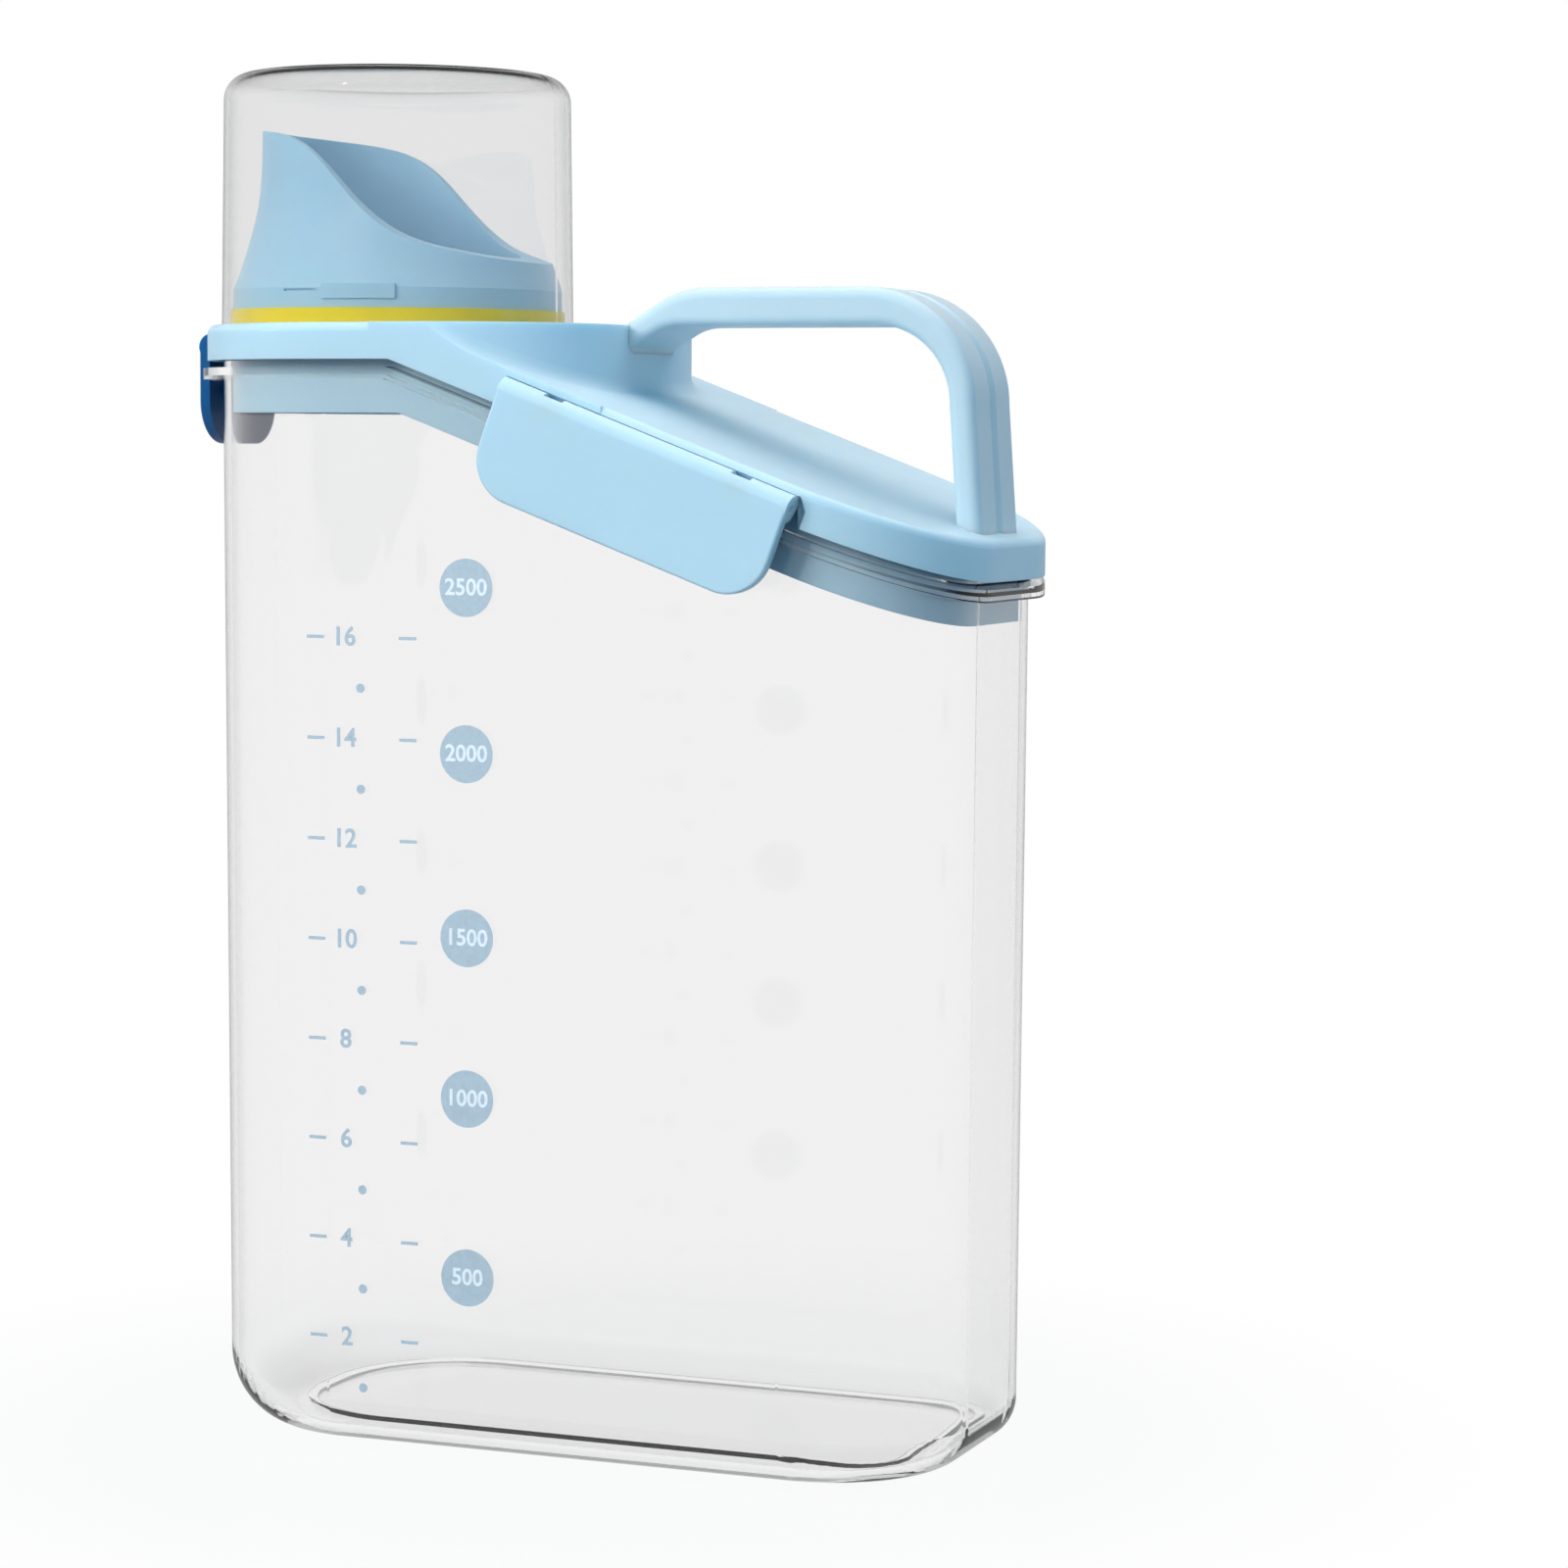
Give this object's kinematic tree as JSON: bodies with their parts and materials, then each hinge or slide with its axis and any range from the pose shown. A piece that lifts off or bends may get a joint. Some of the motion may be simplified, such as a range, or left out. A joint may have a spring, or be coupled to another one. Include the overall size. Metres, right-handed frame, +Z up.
{
  "type": "food storage container",
  "caption": "Clear upright dry food keeper with a sloping blue latched lid, carrying handle, pouring scoop and a clear measuring cup over it.",
  "frame": {"origin": "centre of the overall box at the floor that the tank stands on", "axes": "+X from the pouring end towards the handle end, +Y across the tank, +Z up"},
  "size_m": [0.1864, 0.106, 0.2948],
  "materials": {
    "clear_tank": "clear moulded plastic with a light grey tint at the edges",
    "clear_cup": "clear moulded plastic, slightly smoky",
    "blue_lid": "satin light blue moulded plastic",
    "blue_handle": "satin light blue moulded plastic",
    "blue_latch": "satin light blue moulded plastic",
    "deep_blue_latch": "satin deep blue moulded plastic",
    "blue_spout": "satin light blue moulded plastic",
    "yellow_silicone": "matte yellow silicone",
    "white_silicone": "matte white silicone",
    "steel_pin": "drawn stainless wire"
  },
  "bodies": {
    "tank": {"tank": "clear_tank"},
    "lid": {"lid_shell": "blue_lid", "carry_handle": "blue_handle", "lid_seal": "white_silicone", "pour_spout": "blue_spout", "spout_seal": "yellow_silicone", "side_latch_near_hinge_pin": "steel_pin", "side_latch_far_hinge_pin": "steel_pin", "front_latch_hinge_pin": "steel_pin"},
    "latch_near": {"side_latch_near": "blue_latch"},
    "latch_far": {"side_latch_far": "blue_latch"},
    "latch_front": {"front_latch": "deep_blue_latch"},
    "cup": {"measuring_cup": "clear_cup"}
  },
  "joints": [
    {"name": "lid_lift", "type": "slide", "parent": "tank", "child": "lid", "axis": [0, 0, 1], "range_m": [0, 0.019]},
    {"name": "latch_near_hinge", "type": "hinge", "parent": "lid", "child": "latch_near", "pos_m": [0.02984, -0.0501, 0.21379], "axis": [-0.9373, 0, 0.3486], "range_deg": [0, 95.5]},
    {"name": "latch_far_hinge", "type": "hinge", "parent": "lid", "child": "latch_far", "pos_m": [0.02984, 0.0501, 0.21379], "axis": [0.9373, 0, -0.3486], "range_deg": [0, 95.5]},
    {"name": "latch_front_hinge", "type": "hinge", "parent": "lid", "child": "latch_front", "pos_m": [-0.0903, 0, 0.23545], "axis": [0, 1, 0], "range_deg": [0, 95.5]},
    {"name": "cup_lift", "type": "slide", "parent": "lid", "child": "cup", "axis": [0, 0, 1], "range_m": [0, 0.06]}
  ],
  "couplings": [
    {"joint": "latch_near_hinge", "follows": "lid_lift", "rad_per_m": 87.266},
    {"joint": "latch_far_hinge", "follows": "lid_lift", "rad_per_m": 87.266},
    {"joint": "latch_front_hinge", "follows": "lid_lift", "rad_per_m": 87.266}
  ]
}
